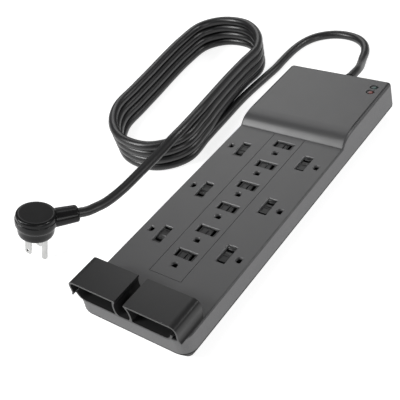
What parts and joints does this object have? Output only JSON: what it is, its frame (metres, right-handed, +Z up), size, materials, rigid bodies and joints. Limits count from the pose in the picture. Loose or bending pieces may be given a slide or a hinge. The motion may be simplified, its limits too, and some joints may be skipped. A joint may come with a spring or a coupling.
{
  "type": "power strip",
  "caption": "Wide surge-protected power strip with sliding outlet shutters, indicator lights, a removable cord holder and a long coiled mains lead with a flat grounded plug.",
  "frame": {"origin": "centre of the housing's footprint, on the surface that it stands on; the lead and its plug lie outside that footprint", "axes": "+Z up, out of the outlets; +Y along the housing towards the raised end where the lead leaves; +X to the right of someone at the cord-holder end looking along +Y"},
  "size_m": [0.2508, 0.4259, 0.0482],
  "materials": {
    "grey_plastic": "fine texture on the walls, satin on top",
    "black_plastic": "satin",
    "holder_plastic": "semi-gloss",
    "button_plastic": "semi-gloss",
    "cord_jacket": "soft satin jacket",
    "brass": "stamped",
    "nickel": "nickel plated",
    "steel": "zinc plated",
    "board": "solder mask",
    "varistor": "epoxy coated",
    "led_green": "clear",
    "led_red": "clear",
    "lens_green": "tinted, polished",
    "lens_red": "tinted, polished",
    "wire_line": "insulated",
    "wire_neutral": "insulated",
    "wire_ground": "insulated"
  },
  "bodies": {
    "housing": {"top_cover": "grey_plastic", "base_cover": "black_plastic", "case_screw_1": "steel", "case_screw_2": "steel", "case_screw_3": "steel", "case_screw_4": "steel", "case_screw_5": "steel", "case_screw_6": "steel", "socket_block_centre": "black_plastic", "socket_block_left": "black_plastic", "socket_block_right": "black_plastic", "neutral_bus_centre": "nickel", "hot_bus_centre": "brass", "ground_bus_centre": "nickel", "neutral_bus_left": "nickel", "hot_bus_left": "brass", "ground_bus_left": "nickel", "neutral_bus_right": "nickel", "hot_bus_right": "brass", "ground_bus_right": "nickel", "circuit_board": "board", "varistor_1": "varistor", "varistor_2": "varistor", "varistor_3": "varistor", "thermal_fuse": "steel", "breaker_body": "black_plastic", "led_green": "led_green", "led_red": "led_red", "lens_green": "lens_green", "lens_red": "lens_red", "wire_line": "wire_line", "wire_neutral": "wire_neutral", "wire_ground": "wire_ground", "cord_lead": "cord_jacket", "cord_hank": "cord_jacket", "cord_tail": "cord_jacket", "plug_body": "black_plastic", "plug_blade_neutral": "nickel", "plug_blade_hot": "nickel", "plug_ground_pin": "nickel", "strain_relief": "black_plastic"},
    "cord_clip": {"cord_clip": "holder_plastic"},
    "reset_button": {"reset_button": "button_plastic"},
    "outlet_shutter_centre_1": {"outlet_shutter_centre_1": "black_plastic"},
    "outlet_shutter_centre_2": {"outlet_shutter_centre_2": "black_plastic"},
    "outlet_shutter_centre_3": {"outlet_shutter_centre_3": "black_plastic"},
    "outlet_shutter_centre_4": {"outlet_shutter_centre_4": "black_plastic"},
    "outlet_shutter_centre_5": {"outlet_shutter_centre_5": "black_plastic"},
    "outlet_shutter_centre_6": {"outlet_shutter_centre_6": "black_plastic"},
    "outlet_shutter_left_1": {"outlet_shutter_left_1": "black_plastic"},
    "outlet_shutter_left_2": {"outlet_shutter_left_2": "black_plastic"},
    "outlet_shutter_left_3": {"outlet_shutter_left_3": "black_plastic"},
    "outlet_shutter_right_1": {"outlet_shutter_right_1": "black_plastic"},
    "outlet_shutter_right_2": {"outlet_shutter_right_2": "black_plastic"},
    "outlet_shutter_right_3": {"outlet_shutter_right_3": "black_plastic"}
  },
  "joints": [
    {"name": "shutter_slide_centre_1", "type": "slide", "parent": "housing", "child": "outlet_shutter_centre_1", "axis": [-1, 0, 0], "range_m": [0, 0.0023]},
    {"name": "shutter_slide_centre_2", "type": "slide", "parent": "housing", "child": "outlet_shutter_centre_2", "axis": [-1, 0, 0], "range_m": [0, 0.0023]},
    {"name": "shutter_slide_centre_3", "type": "slide", "parent": "housing", "child": "outlet_shutter_centre_3", "axis": [-1, 0, 0], "range_m": [0, 0.0023]},
    {"name": "shutter_slide_centre_4", "type": "slide", "parent": "housing", "child": "outlet_shutter_centre_4", "axis": [-1, 0, 0], "range_m": [0, 0.0023]},
    {"name": "shutter_slide_centre_5", "type": "slide", "parent": "housing", "child": "outlet_shutter_centre_5", "axis": [-1, 0, 0], "range_m": [0, 0.0023]},
    {"name": "shutter_slide_centre_6", "type": "slide", "parent": "housing", "child": "outlet_shutter_centre_6", "axis": [-1, 0, 0], "range_m": [0, 0.0023]},
    {"name": "shutter_slide_left_1", "type": "slide", "parent": "housing", "child": "outlet_shutter_left_1", "axis": [0, 1, 0], "range_m": [0, 0.0023]},
    {"name": "shutter_slide_left_2", "type": "slide", "parent": "housing", "child": "outlet_shutter_left_2", "axis": [0, 1, 0], "range_m": [0, 0.0023]},
    {"name": "shutter_slide_left_3", "type": "slide", "parent": "housing", "child": "outlet_shutter_left_3", "axis": [0, 1, 0], "range_m": [0, 0.0023]},
    {"name": "shutter_slide_right_1", "type": "slide", "parent": "housing", "child": "outlet_shutter_right_1", "axis": [0, -1, 0], "range_m": [0, 0.0023]},
    {"name": "shutter_slide_right_2", "type": "slide", "parent": "housing", "child": "outlet_shutter_right_2", "axis": [0, -1, 0], "range_m": [0, 0.0023]},
    {"name": "shutter_slide_right_3", "type": "slide", "parent": "housing", "child": "outlet_shutter_right_3", "axis": [0, -1, 0], "range_m": [0, 0.0023]},
    {"name": "reset_button_slide", "type": "slide", "parent": "housing", "child": "reset_button", "axis": [0, 1, 0], "range_m": [0, 0.003]},
    {"name": "cord_clip_lift", "type": "slide", "parent": "housing", "child": "cord_clip", "axis": [0, 0, 1], "range_m": [0, 0.03]}
  ]
}
